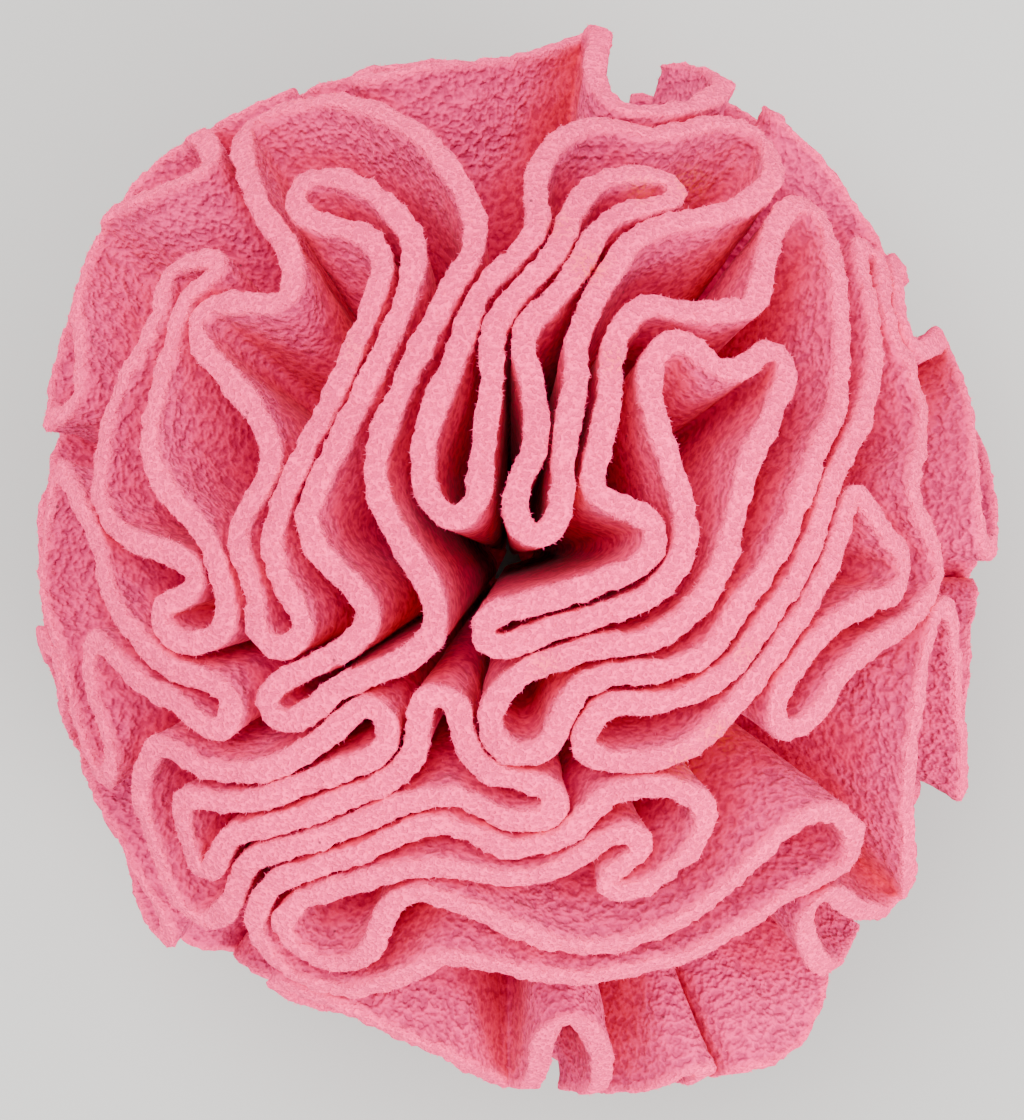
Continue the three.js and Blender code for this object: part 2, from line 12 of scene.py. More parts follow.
import bmesh
import bpy
import numpy as np
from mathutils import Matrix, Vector
from mathutils.bvhtree import BVHTree
from mathutils.geometry import tessellate_polygon
from mathutils.noise import noise, voronoi


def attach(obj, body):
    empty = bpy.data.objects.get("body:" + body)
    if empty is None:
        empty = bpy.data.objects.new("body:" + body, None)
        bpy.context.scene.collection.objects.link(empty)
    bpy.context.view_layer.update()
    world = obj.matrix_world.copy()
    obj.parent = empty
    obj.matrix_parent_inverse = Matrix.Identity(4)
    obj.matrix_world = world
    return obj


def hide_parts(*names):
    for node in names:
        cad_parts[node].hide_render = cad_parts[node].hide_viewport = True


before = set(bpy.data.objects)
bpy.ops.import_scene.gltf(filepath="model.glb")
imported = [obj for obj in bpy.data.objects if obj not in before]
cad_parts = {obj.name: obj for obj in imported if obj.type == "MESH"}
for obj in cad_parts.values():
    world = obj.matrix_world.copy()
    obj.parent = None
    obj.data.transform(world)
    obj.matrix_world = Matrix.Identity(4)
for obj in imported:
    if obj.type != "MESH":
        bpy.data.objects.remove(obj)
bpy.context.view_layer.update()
print("pieces of fleece:", len(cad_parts))

# %% [markdown]
# ## Sizes
#
# Everything is in metres. The heart is the point that all the folds run in to. The fleece is a thick one,
# with a nap on both faces, and its raw edge is as wide as the cloth is thick.

# %% Sizes
MM = 0.001
HEART = np.array([-0.759, 0.815, 54.0]) * MM
FOLD_FLOOR = 22 * MM
GATHERED_END = 11 * MM
FLEECE = 3.2 * MM
CLEARANCE = 0.3 * MM

# How finely the cloth is drawn along its rim: where it shows from above, round the sides, and below.
FINE_STEP = 0.66 * MM
SIDE_STEP = 0.95 * MM
UNDER_STEP = 1.3 * MM

# %% [markdown]
# ## The pieces
#
# Each row is one round of fleece: how wide it was cut, and how finely it is drawn. The small ones are the
# ends of rounds that come up between the big ones on the west side of the ball.

# %% Table of the pieces
PIECES = {
    "fleece_left_crown": {"cut": 127 * MM, "step": FINE_STEP},
    "fleece_north_crown": {"cut": 112 * MM, "step": FINE_STEP},
    "fleece_east_crown": {"cut": 120 * MM, "step": FINE_STEP},
    "fleece_east_side": {"cut": 108 * MM, "step": FINE_STEP},
    "fleece_south_crown": {"cut": 122 * MM, "step": FINE_STEP},
    "fleece_south_west": {"cut": 102 * MM, "step": FINE_STEP},
    "fleece_west_crown": {"cut": 77 * MM, "step": FINE_STEP},
    "fleece_west_side": {"cut": 81 * MM, "step": FINE_STEP},
    "fleece_north_west": {"cut": 77 * MM, "step": FINE_STEP},
    "fleece_lower_north": {"cut": 135 * MM, "step": SIDE_STEP},
    "fleece_lower_east": {"cut": 130 * MM, "step": SIDE_STEP},
    "fleece_lower_south_east": {"cut": 138 * MM, "step": SIDE_STEP},
    "fleece_lower_south": {"cut": 130 * MM, "step": SIDE_STEP},
    "fleece_lower_west": {"cut": 134 * MM, "step": SIDE_STEP},
    "fleece_lower_north_west": {"cut": 132 * MM, "step": SIDE_STEP},
    "fleece_under_north": {"cut": 115 * MM, "step": UNDER_STEP},
    "fleece_under_south": {"cut": 120 * MM, "step": UNDER_STEP},
}

# %% [markdown]
# ## Reading the run of the folds
#
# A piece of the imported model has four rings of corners: the two sides of its rim, the floor of its folds
# and its gathered end. The rings are told apart by how far they lie from the heart, and a ring is walked
# from corner to corner through the faces that lie on it. Halfway between the two sides of the rim runs
# the line that the cloth follows.

# %% Read the rims
# How far from the heart the corners of the fold floor and of the rim begin.
FLOOR_FROM = (GATHERED_END + FOLD_FLOOR) / 2
RIM_FROM = 1.5 * FOLD_FLOOR


def welded(node):
    """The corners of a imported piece, each once, and its triangles."""
    mesh = node.data
    corners = np.empty(len(mesh.vertices) * 3, np.float32)
    mesh.vertices.foreach_get("co", corners)
    mesh.calc_loop_triangles()
    faces = np.empty(len(mesh.loop_triangles) * 3, np.int32)
    mesh.loop_triangles.foreach_get("vertices", faces)
    places, number = np.unique(corners.reshape(-1, 3), axis=0, return_inverse=True)
    return places.astype(float), number.reshape(-1)[faces].reshape(-1, 3)


def walk_ring(faces, kind, inner_kind, backwards):
    """Goes once round the rim corners whose faces run in to inner_kind."""
    follows = {}
    for face in faces:
        kinds = [kind[corner] for corner in face]
        if kinds.count("rim") == 2 and kinds.count(inner_kind) == 1:
            turn = kinds.index(inner_kind)
            first, second = int(face[(turn + 1) % 3]), int(face[(turn + 2) % 3])
            if backwards:
                first, second = second, first
            follows[first] = second
    start = min(follows)
    ring = [start]
    while follows[ring[-1]] != start:
        ring.append(follows[ring[-1]])
    return ring


def rim_line(node):
    """The corners halfway between the two sides of a rim."""
    places, faces = welded(node)
    reach = np.linalg.norm(places - HEART, axis=1)
    kind = np.where(reach < RIM_FROM, "floor", "rim")
    kind[reach < FLOOR_FROM] = "end"
    outside = places[walk_ring(faces, kind.tolist(), "end", True)]
    inside = places[walk_ring(faces, kind.tolist(), "floor", False)]
    turned = [np.roll(inside, -shift, 0) for shift in range(len(inside))]
    apart = [np.linalg.norm(outside - ring, axis=1).sum() for ring in turned]
    return (outside + turned[int(np.argmin(apart))]) / 2


rims = {name: rim_line(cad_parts[name]) for name in PIECES}
print("corners read along the rims:", sum(len(line) for line in rims.values()))


# %% [markdown]
# ## One even, smooth line for each rim
#
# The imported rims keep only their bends. A centripetal Catmull-Rom curve goes through every bend without
# overshooting where two bends lie close together, which suits tight folds, and is then cut into even
# steps.

# %% Smooth the rims
SPLINE_CUTS = 12


def smooth_loop(points):
    """A closed centripetal Catmull-Rom curve through the points."""
    before, after, beyond = np.roll(points, 1, 0), np.roll(points, -1, 0), np.roll(points, -2, 0)
    knots = [np.zeros(len(points))]
    for first, second in ((before, points), (points, after), (after, beyond)):
        knots.append(knots[-1] + np.sqrt(np.linalg.norm(second - first, axis=1)))
    k0, k1, k2, k3 = (knot[:, None, None] for knot in knots)
    t = k1 + (k2 - k1) * (np.arange(SPLINE_CUTS) / SPLINE_CUTS)[None, :, None]
    p0, p1, p2, p3 = (p[:, None, :] for p in (before, points, after, beyond))
    a1 = (k1 - t) / (k1 - k0) * p0 + (t - k0) / (k1 - k0) * p1
    a2 = (k2 - t) / (k2 - k1) * p1 + (t - k1) / (k2 - k1) * p2
    a3 = (k3 - t) / (k3 - k2) * p2 + (t - k2) / (k3 - k2) * p3
    b1 = (k2 - t) / (k2 - k0) * a1 + (t - k0) / (k2 - k0) * a2
    b2 = (k3 - t) / (k3 - k1) * a2 + (t - k1) / (k3 - k1) * a3
    return ((k2 - t) / (k2 - k1) * b1 + (t - k1) / (k2 - k1) * b2).reshape(-1, 3)


def even_steps(points, step):
    """The closed line cut into even steps, and its length."""
    closed = np.vstack([points, points[:1]])
    walked = np.concatenate([[0.0], np.cumsum(np.linalg.norm(np.diff(closed, axis=0), axis=1))])
    count = int(round(walked[-1] / step))
    at = np.arange(count) * walked[-1] / count
    return np.column_stack([np.interp(at, walked, closed[:, axis]) for axis in range(3)]), walked[-1]


lines = {name: even_steps(smooth_loop(rims[name]), row["step"]) for name, row in PIECES.items()}
for name, (line, length) in lines.items():
    print(f"{name}: rim {length / MM:.0f} mm in {len(line)} steps")

# %% [markdown]
# ## The cloth
#
# The wall of a fold runs straight in to the heart from every point of the rim, so the sheet is a grid:
# its columns follow the rim, and its rows go down one face of the cloth, over the raw edge and up the
# other. The raw edge is nearly flat with soft corners, a little fuller than the wall under it, because
# the nap springs out where it is cut. The grid also gives the cloth its own map: along the rim, and
# across it.

# %% Rows of the cloth
EDGE_TURNS = np.radians([90, 68, 48, 30, 12, -12, -30, -48, -68, -90])
EDGE_DEPTH = 1.15 * MM
EDGE_SQUARENESS = 0.5
FULLER = 0.14 * MM
NECK = 0.20 * MM
NECK_DEPTH = 7 * MM
NEAR_EDGE = [1.7, 2.4, 3.1, 3.9, 4.7, 5.5, 6.3, 7.2, 8.1, 9.0, 10.0, 11.0]
DOWN_THE_WALL = [12.2, 13.6, 15.4, 17.8, 21.5, 27.0]
WALL_DEPTHS = np.array(NEAR_EDGE + DOWN_THE_WALL) * MM


def edge_rows():
    """Depth below the rim and share of the half width, over the raw edge."""
    lean, rise = np.sin(EDGE_TURNS), np.cos(EDGE_TURNS)
    share = np.sign(lean) * np.abs(lean) ** EDGE_SQUARENESS
    return EDGE_DEPTH * (1 - rise**EDGE_SQUARENESS), share


def half_width(depth, share_of_reach):
    """Half the cloth, thinner where the folds close up, with a neck under the fuller raw edge."""
    drawn_in = (FLEECE + CLEARANCE) / 2 * share_of_reach - CLEARANCE / 2
    fuller = FULLER * (1 - np.clip(depth / NECK_DEPTH, 0, 1))
    return drawn_in + fuller - NECK * np.sin(np.pi * np.clip(depth / NECK_DEPTH, 0, 1))


def cloth_grid(line):
    """The places of the grid, columns along the rim and rows across the cloth, and how deep each one lies."""
    outward = line - HEART
    skin = np.linalg.norm(outward, axis=1)[:, None]
    outward /= skin
    aside = np.cross(outward, np.roll(line, -1, 0) - np.roll(line, 1, 0))
    aside /= np.linalg.norm(aside, axis=1)[:, None]
    edge_depth, edge_share = edge_rows()
    over = np.concatenate([WALL_DEPTHS[::-1], edge_depth, WALL_DEPTHS])
    depth = np.hstack([skin - FOLD_FLOOR, np.tile(over, (len(line), 1)), skin - GATHERED_END])
    wall = np.ones(len(WALL_DEPTHS) + 1)
    side = np.concatenate([wall, edge_share, -wall])
    half = half_width(depth, 1 - depth / skin) * side
    places = HEART + outward[:, None] * (skin - depth)[:, :, None] + aside[:, None] * half[:, :, None]
    return places, depth


# Small unevenness of the cut: how far the raw edge dips, and how long its short and its long dips are.
DIP = 0.3 * MM
SHORT_DIP = 3.2 * MM
LONG_DIP = 8 * MM
LONG_DIP_SHARE = 0.8


def loosen(line):
    """The raw edge wanders up and down a little."""
    outward = (line - HEART) / np.linalg.norm(line - HEART, axis=1)[:, None]
    short = np.array([noise(Vector(p / SHORT_DIP)) for p in line])
    long = np.array([noise(Vector(p / LONG_DIP)) for p in line])
    return line + outward * ((short + LONG_DIP_SHARE * long) * DIP)[:, None]


grids = {}
depths = {}
for name, (line, _) in lines.items():
    grids[name], depths[name] = cloth_grid(loosen(line))
ROWS = next(iter(grids.values())).shape[1]
print("rows across the cloth:", ROWS, "columns:", sum(len(grid) for grid in grids.values()))


# %% [markdown]
# ## How open each spot lies
#
# Down in a fold the light has bounced from pink to pink so often that the cloth looks crimson, and out on
# the skin it looks pale. That shade is painted into the colours: each spot of the cloth is asked how much
# open sky it sees, rays go out from it in many directions, and the share that gets past all the other
# folds is kept on the mesh, where the colours use it to paint crimson shade in the folds. Every third
# column and every second row are enough, because the answer changes slowly.

# %% Rays
SKY_RAYS = 26
FAR = 60 * MM
START_OFF = 0.45 * MM
GRAZING = 0.1
EVERY_COLUMN = 3
EVERY_ROW = 2


def even_directions(count):
    """Directions spread evenly over a sphere, along a golden spiral."""
    index = np.arange(count) + 0.5
    height = 1 - 2 * index / count
    turn = np.pi * (1 + 5**0.5) * index
    level = np.sqrt(1 - height**2)
    return np.column_stack([np.cos(turn) * level, np.sin(turn) * level, height])


def grid_normals(places):
    along = np.roll(places, -1, 0) - np.roll(places, 1, 0)
    down = np.gradient(places, axis=1)
    normal = np.cross(down, along)
    return normal / np.maximum(np.linalg.norm(normal, axis=2), 1e-12)[:, :, None]


def sky_seen(tree, place, normal):
    """The share of the sky over a spot that no fold covers. Light that comes straight on counts most."""
    facing = SKY @ normal
    seen = total = 0.0
    start = Vector(place + normal * START_OFF)
    for direction, weight in zip(SKY, facing):
        if weight > GRAZING:
            total += weight
            if tree.ray_cast(start, Vector(direction), FAR)[0] is None:
                seen += weight
    return seen / total


SKY = even_directions(SKY_RAYS)


def folds_tree():
    """All the folds as one body that the rays can meet."""
    corners, faces = [], []
    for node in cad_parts.values():
        places, triangles = welded(node)
        faces.extend((triangles + len(corners)).tolist())
        corners.extend(places.tolist())
    return BVHTree.FromPolygons(corners, faces)


def openness(tree, places):
    """Sky seen on the whole grid, from every third column and every second row."""
    normals = grid_normals(places)
    columns = np.arange(0, len(places), EVERY_COLUMN)
    rows = np.unique(np.append(np.arange(0, ROWS, EVERY_ROW), ROWS - 1))
    coarse = np.array([[sky_seen(tree, places[c, r], normals[c, r]) for r in rows] for c in columns])
    by_row = np.array([np.interp(np.arange(ROWS), rows, line) for line in coarse])
    closed = np.vstack([by_row, by_row[:1]])
    at = np.append(columns, len(places))
    return np.array([np.interp(np.arange(len(places)), at, closed[:, row]) for row in range(ROWS)]).T


tree = folds_tree()
skies = {}
for name, grid in grids.items():
    skies[name] = openness(tree, grid)
print("sky seen, on average:", {name: round(float(sky.mean()), 2) for name, sky in skies.items()})

# %% [markdown]
# ## The nap
#
# The nap of a brushed fleece gathers in soft curls a little over a millimetre across. Near the raw edge,
# where they break its outline, they are real lumps in the mesh: cells of noise give the round curls with
# narrow gaps between them, and a finer noise roughens them. Farther in, the mesh carries the softer swell
# of the cloth, and the finish gives the curls, as bumps with painted shade in their gaps and painted
# highlight on their tops. Deep in the folds nothing shows, so all of it dies away there.

# %% Raise the nap
CURL = 1.45 * MM
TUFT = 0.7 * MM
SWELL = 4.2 * MM
CURL_HEIGHT = 0.62 * MM
TUFT_HEIGHT = 0.24 * MM
SWELL_HEIGHT = 0.4 * MM
CURLS_END = 7 * MM
SWELL_END = 26 * MM
MIDDLE_OF_CELL = 0.45


def raise_nap(places, depth):
    normals = grid_normals(places)
    flat = places.reshape(-1, 3)
    curls = np.array([MIDDLE_OF_CELL - voronoi(Vector(p))[0][0] for p in flat / CURL]).reshape(depth.shape)
    tufts = np.array([noise(Vector(p)) for p in flat / TUFT]).reshape(depth.shape)
    swells = np.array([noise(Vector(p)) for p in flat / SWELL]).reshape(depth.shape)
    near_edge = np.clip(1 - depth / CURLS_END, 0, 1)
    height = (CURL_HEIGHT * curls + TUFT_HEIGHT * tufts) * near_edge
    height += SWELL_HEIGHT * swells * np.clip(1 - depth / SWELL_END, 0, 1)
    napped = places + normals * height[:, :, None]
    napped[:, :, 2] = np.maximum(napped[:, :, 2], 0)
    return napped


# %% [markdown]
# ## Marks of use
#
# A few places on the raw edges have picked up a faint orange stain. The table says where, seen from
# above, how wide, and how strong. The nearer a point of the cloth lies, the more it takes of the stain.

# %% Stains
STAINS = {
    "north_inner": {"east": 22.5, "north": 46.6, "wide": 3.2, "strong": 0.7},
    "north_outer": {"east": 16.3, "north": 45.8, "wide": 2.6, "strong": 0.6},
    "centre_north": {"east": 10.0, "north": 36.4, "wide": 3.4, "strong": 0.8},
    "north_fold": {"east": 6.3, "north": 41.4, "wide": 2.6, "strong": 0.5},
    "south_east_edge": {"east": 26.3, "north": -22.4, "wide": 3.4, "strong": 0.7},
    "south_east_end": {"east": 21.9, "north": -26.1, "wide": 3.0, "strong": 0.7},
    "centre_east": {"east": 13.1, "north": 24.5, "wide": 2.6, "strong": 0.6},
    "middle": {"east": 4.4, "north": -13.6, "wide": 2.8, "strong": 0.5},
    "east_arc": {"east": 29.4, "north": -11.8, "wide": 2.8, "strong": 0.5},
    "west_arc": {"east": -20.0, "north": 26.0, "wide": 3.0, "strong": 0.3},
}

# The eye looks down from above the heart. The plan of the crown is drawn at its own distance from the eye.
EYE_HEIGHT = 450 * MM
CROWN_EYE = 392 * MM


def stain_on(places):
    """How stained each point is, from where it shows in the plan of the crown."""
    plan = (places - HEART)[:, :, :2] * (CROWN_EYE / (EYE_HEIGHT - (places - HEART)[:, :, 2:]))
    stained = np.zeros(plan.shape[:2])
    for row in STAINS.values():
        middle = np.array([row["east"], row["north"]]) * MM
        away = np.linalg.norm(plan - middle, axis=2) / (row["wide"] * MM)
        stained = np.maximum(stained, row["strong"] * np.clip(1 - away, 0, 1))
    return stained * (places[:, :, 2] > HEART[2])


# %% [markdown]
# ## From grids to sheets
#
# Each grid becomes one closed mesh: quads over the cloth, and triangles that fill in the floor of the
# fold and its gathered end. Those two are filled in as they look from straight outside, where they can't
# fold over themselves. The mesh carries its own map, along and across the cloth, and what was worked out
# for every spot.

# %% Build a sheet
def as_seen_from_outside(ring):
    middle = (ring - HEART).sum(0)
    middle /= np.linalg.norm(middle)
    right = np.array([-middle[1], middle[0], 0.0])
    right /= np.linalg.norm(right)
    up = np.cross(middle, right)
    rays = ring - HEART
    far = rays @ middle
    return np.column_stack([rays @ right / far, rays @ up / far])


def fill_ring(ring, numbers, outward):
    """Triangles inside a ring, facing outwards or inwards."""
    seen = as_seen_from_outside(ring)
    faces = []
    for a, b, c in tessellate_polygon([[Vector((x, y, 0)) for x, y in seen]]):
        first, second = seen[b] - seen[a], seen[c] - seen[a]
        turns_left = first[0] * second[1] - first[1] * second[0] > 0
        faces.append([int(numbers[k]) for k in ((a, b, c) if turns_left == outward else (a, c, b))])
    return faces


def across_rows(places):
    """How far each row lies across the cloth from the middle of the raw edge."""
    steps = np.median(np.linalg.norm(np.diff(places, axis=1), axis=2), axis=0)
    walked = np.concatenate([[0.0], np.cumsum(steps)])
    return walked - walked[ROWS // 2 - 1 : ROWS // 2 + 1].mean()


def grid_mesh(title, places):
    """The closed mesh of a grid."""
    number = np.arange(len(places) * ROWS).reshape(-1, ROWS)
    beside = np.roll(number, -1, 0)
    quads = np.stack([number[:, :-1], number[:, 1:], beside[:, 1:], beside[:, :-1]], axis=-1).reshape(-1, 4)
    floor = fill_ring(places[:, 0], number[:, 0], True)
    end = fill_ring(places[:, -1], number[:, -1], False)
    mesh = bpy.data.meshes.new(title)
    mesh.from_pydata(places.reshape(-1, 3).tolist(), [], quads.tolist() + floor + end)
    return mesh


def lay_map(mesh, places, length):
    """The cloth's own map. Where the last column meets the first, it goes on and doesn't jump back."""
    corner = np.empty(len(mesh.loops), np.int32)
    mesh.loops.foreach_get("vertex_index", corner)
    columns = len(places)
    column, row = corner // ROWS, corner % ROWS
    along = column * (length / columns)
    in_last = np.repeat(np.arange(columns) == columns - 1, (ROWS - 1) * 4)
    wraps = np.zeros(len(corner), bool)
    wraps[: len(in_last)] = in_last & (column[: len(in_last)] == 0)
    along[wraps] += length
    uv = np.column_stack([along, across_rows(places)[row]])
    mesh.uv_layers.new(name="Cloth").data.foreach_set("uv", uv.astype(np.float32).ravel())


def make_sheet(name, places, depth, sky, length):
    """One sheet of cloth, with its map and what was worked out for every spot."""
    mesh = grid_mesh(name + "_cloth", places)
    lay_map(mesh, places, length)
    for title, values in {"sky": sky, "stain": stain_on(places), "deep": depth}.items():
        kept = mesh.attributes.new(title, "FLOAT", "POINT")
        kept.data.foreach_set("value", values.astype(np.float32).ravel())
    mesh.shade_smooth()
    mesh.validate()
    sheet = bpy.data.objects.new(name + "_cloth", mesh)
    bpy.context.scene.collection.objects.link(sheet)
    return sheet


sheets = {}
for name, grid in grids.items():
    napped = raise_nap(grid, depths[name])
    sheets[name] = make_sheet(name, napped, depths[name], skies[name], lines[name][1])
print("faces in the sheets:", sum(len(sheet.data.polygons) for sheet in sheets.values()))


# %% [markdown]
# ## The finish: brushed polyester fleece, with painted shade
#
# Polyester fleece is knitted, brushed on both faces and sheared. To the eye it is quite matt, with a soft
# light rim from the fibre ends. Its raw edge shows the fibres end on, as a fine stipple over the band, a
# little paler than the walls. The colour also carries painted light and shade: deeper crimson painted where
# less light comes in, the paler raw edge kept only where it lies open, and painted shade in the low spots
# of the nap and the stipple, with painted highlight on their tops.

# %% Colours, and helpers for nodes
def colour(code):
    """A hex sRGB colour as the linear colour that the shader wants."""
    parts = [int(code[i : i + 2], 16) / 255 for i in (1, 3, 5)]
    return tuple(p / 12.92 if p <= 0.04045 else ((p + 0.055) / 1.055) ** 2.4 for p in parts) + (1.0,)


def add_node(tree, kind, sockets=None, **settings):
    """Adds a node, sets what it is told, and links or fills in its sockets."""
    node = tree.nodes.new(kind)
    for setting, value in settings.items():
        setattr(node, setting, value)
    for socket, value in (sockets or {}).items():
        if isinstance(value, bpy.types.NodeSocket):
            tree.links.new(value, node.inputs[socket])
        else:
            node.inputs[socket].default_value = value
    return node


def colour_ramp(tree, factor, stops):
    """A ramp through colours at given places."""
    ramp = add_node(tree, "ShaderNodeValToRGB", {"Fac": factor})
    elements = ramp.color_ramp.elements
    while len(elements) < len(stops):
        elements.new(0.5)
    for element, (place, code) in zip(elements, stops):
        element.position = place
        element.color = colour(code)
    return ramp.outputs["Color"]


def spread(tree, value, name):
    """Takes a value from one range to another, by a row of the table below, and holds it there."""
    row = RANGES[name]
    sockets = {"From Min": row["start"], "From Max": row["end"], "To Min": row["low"], "To Max": row["high"]}
    return add_node(tree, "ShaderNodeMapRange", {"Value": value, **sockets}).outputs["Result"]


def times(tree, one, other):
    return add_node(tree, "ShaderNodeMath", {0: one, 1: other}, operation="MULTIPLY").outputs["Value"]


def grainy(tree, spot, **looks):
    """A soft noise at a spot of the cloth."""
    sockets = {"Vector": spot, **{name.capitalize(): value for name, value in looks.items()}}
    return add_node(tree, "ShaderNodeTexNoise", sockets).outputs[0]


def blend(tree, share, under, over, how="MIX"):
    """One colour over another, by share."""
    sockets = {0: share, 6: under, 7: over}
    return add_node(tree, "ShaderNodeMix", sockets, data_type="RGBA", blend_type=how).outputs[2]


# Painted shade: the colours of the dye on the cloth and on its fibre ends, from a spot that sees no sky,
# painted deep crimson, to one that lies open.
PAINTED_SHADE_BY_SKY = [(0.0, "#D8044C"), (0.1, "#D60C54"), (0.25, "#D41E5E"), (0.45, "#D62C69"), (0.8, "#DC3471")]
FIBRE_PAINTED_SHADE_BY_SKY = [(0.0, "#D8044C"), (0.15, "#D41E5E"), (0.4, "#E83A74"), (0.8, "#F8427C")]
# The paler raw edge: its own colour, which the cloth is painted with only where it lies open, as painted
# light.
RAW_EDGE = "#F83C78"
STAIN = "#E8502E"
SPECK = "#5A3036"
SHEEN = "#FFB7C6"

# The band of the raw edge: whole up to the first width from its middle, and gone at the second.
BAND_WHOLE = 1.7 * MM
BAND_GONE = 3.0 * MM

# How many lumps of nap, clouds of dye, fibre ends and specks of lint lie along a metre.
CLUMPS = 900.0
CLOUDS = 95.0
FIBRE_ENDS = 1700.0
SPECKS = 115.0
FIBRE_SHADES = 400.0

RELIEF = 0.5 * MM

# Each row takes a value from one range to another.
RANGES = {
    "band": {"start": BAND_WHOLE, "end": BAND_GONE, "low": 1.0, "high": 0.0},
    # The raw edge is painted pale only where it lies open: painted light.
    "band painted where open": {"start": 0.02, "end": 0.3, "low": 0.0, "high": 1.0},
    "relief by sky": {"start": 0.1, "end": 0.45, "low": 0.25, "high": 1.0},
    "clumps": {"start": 0.32, "end": 0.68, "low": 0.0, "high": 1.0},
    "stipple": {"start": 0.36, "end": 0.6, "low": 0.2, "high": 0.65},
    # Painted shade in the low spots of the nap and painted highlight on its tops.
    "nap_painted_shade": {"start": 0.2, "end": 0.65, "low": 0.72, "high": 1.05},
    "clouds": {"start": 0.3, "end": 0.7, "low": 0.94, "high": 1.05},
    "stain on fibres": {"start": 0.42, "end": 0.62, "low": 0.0, "high": 1.0},
    "speck": {"start": 0.022, "end": 0.034, "low": 0.8, "high": 0.0},
    "fibre shade": {"start": 0.3, "end": 0.7, "low": 0.86, "high": 1.06},
}


# %% The fleece
def grain_of_cloth(tree, spot, band):
    """Height of the nap's curls, with a stipple of fibre ends in the band, which the colour follows as painted
    shade and highlight; and those ends by themselves.
    """
    clumps = spread(tree, grainy(tree, spot, scale=CLUMPS, detail=1.0, roughness=0.6), "clumps")
    ends = grainy(tree, spot, scale=FIBRE_ENDS, detail=1.0, roughness=0.7)
    stipple = spread(tree, ends, "stipple")
    grain = add_node(tree, "ShaderNodeMix", {0: band, 2: clumps, 3: stipple}, data_type="FLOAT").outputs[0]
    return grain, ends


def marked(tree, spot, clean, ends):
    """Stains that come and go with the fibre ends, and a few dark specks of lint."""
    stain = add_node(tree, "ShaderNodeAttribute", attribute_name="stain").outputs["Fac"]
    taken = times(tree, spread(tree, ends, "stain on fibres"), stain)
    stained = blend(tree, taken, clean, colour(STAIN))
    cells = add_node(tree, "ShaderNodeTexVoronoi", {"Vector": spot, "Scale": SPECKS}).outputs["Distance"]
    return blend(tree, spread(tree, cells, "speck"), stained, colour(SPECK))


def fleece_material():
    material = bpy.data.materials.new("brushed polyester fleece, pink, painted shade")
    material.use_nodes = True
    tree = material.node_tree
    tree.nodes.clear()
    uv = add_node(tree, "ShaderNodeUVMap", uv_map="Cloth").outputs["UV"]
    spot = add_node(tree, "ShaderNodeTexCoord").outputs["Object"]
    sky = add_node(tree, "ShaderNodeAttribute", attribute_name="sky").outputs["Fac"]
    across = add_node(tree, "ShaderNodeSeparateXYZ", {0: uv}).outputs["Y"]
    off_middle = add_node(tree, "ShaderNodeMath", {0: across}, operation="ABSOLUTE").outputs[0]
    band = spread(tree, off_middle, "band")
    grain, ends = grain_of_cloth(tree, spot, band)

    # The painted shade by the sky, the paler raw edge painted on only where it lies open as painted light, and
    # over both the painted shade and highlight of the nap with the random clouds of the dye.
    band_painted_where_open = times(tree, band, spread(tree, sky, "band painted where open"))
    painted_shade_and_edge = blend(tree, band_painted_where_open, colour_ramp(tree, sky, PAINTED_SHADE_BY_SKY), colour(RAW_EDGE))
    nap_painted_shade = spread(tree, grain, "nap_painted_shade")
    cloud = spread(tree, grainy(tree, spot, scale=CLOUDS, detail=2.0), "clouds")
    painted_shade_and_tone = blend(tree, 1.0, painted_shade_and_edge, times(tree, nap_painted_shade, cloud), "MULTIPLY")

    # The nap stands up less where little light comes in.
    relief = {"Strength": spread(tree, sky, "relief by sky"), "Distance": RELIEF, "Height": grain}
    cloth = add_node(
        tree, "ShaderNodeBsdfPrincipled",
        {
            "Base Color": marked(tree, spot, painted_shade_and_tone, ends), "Roughness": 0.95, "IOR": 1.45,
            "Specular IOR Level": 0.05, "Sheen Weight": 0.05, "Sheen Roughness": 0.4,
            "Sheen Tint": colour(SHEEN), "Normal": add_node(tree, "ShaderNodeBump", relief).outputs[0],
        },
    )
    add_node(tree, "ShaderNodeOutputMaterial", {"Surface": cloth.outputs[0]})
    return material


def fibre_material():
    """Single fibre ends that stand off the cloth, coloured much as the cloth is, with painted shade by how
    much sky they see.
    """
    material = bpy.data.materials.new("loose polyester fibre ends, pink, painted shade")
    material.use_nodes = True
    tree = material.node_tree
    tree.nodes.clear()
    sky = add_node(tree, "ShaderNodeAttribute", attribute_name="sky").outputs["Fac"]
    spot = add_node(tree, "ShaderNodeTexCoord").outputs["Object"]
    shade = spread(tree, grainy(tree, spot, scale=FIBRE_SHADES), "fibre shade")
    # Painted shade: the fibres' colour by the sky each one sees, times a random shade of the fibres.
    painted_shade_and_tone = blend(tree, 1.0, colour_ramp(tree, sky, FIBRE_PAINTED_SHADE_BY_SKY), shade, "MULTIPLY")
    fibre = add_node(
        tree, "ShaderNodeBsdfPrincipled",
        {"Base Color": painted_shade_and_tone, "Roughness": 0.8, "IOR": 1.45, "Specular IOR Level": 0.1},
    )
    add_node(tree, "ShaderNodeOutputMaterial", {"Surface": fibre.outputs[0]})
    return material


fleece = fleece_material()
fibre_ends = fibre_material()
for sheet in sheets.values():
    sheet.data.materials.append(fleece)
print("materials:", fleece.name, "and", fibre_ends.name)

# %% [markdown]
# ## Fibre ends
#
# Along the corners of the raw edge, fibre ends stand off the cloth and soften its outline. They repeat in
# their thousands, so Geometry Nodes scatters them: points on the cloth, as dense as the mesh says, and on
# each point one thin spike of three faces, leaning its own way. The spikes are then made real and become
# a plain mesh.

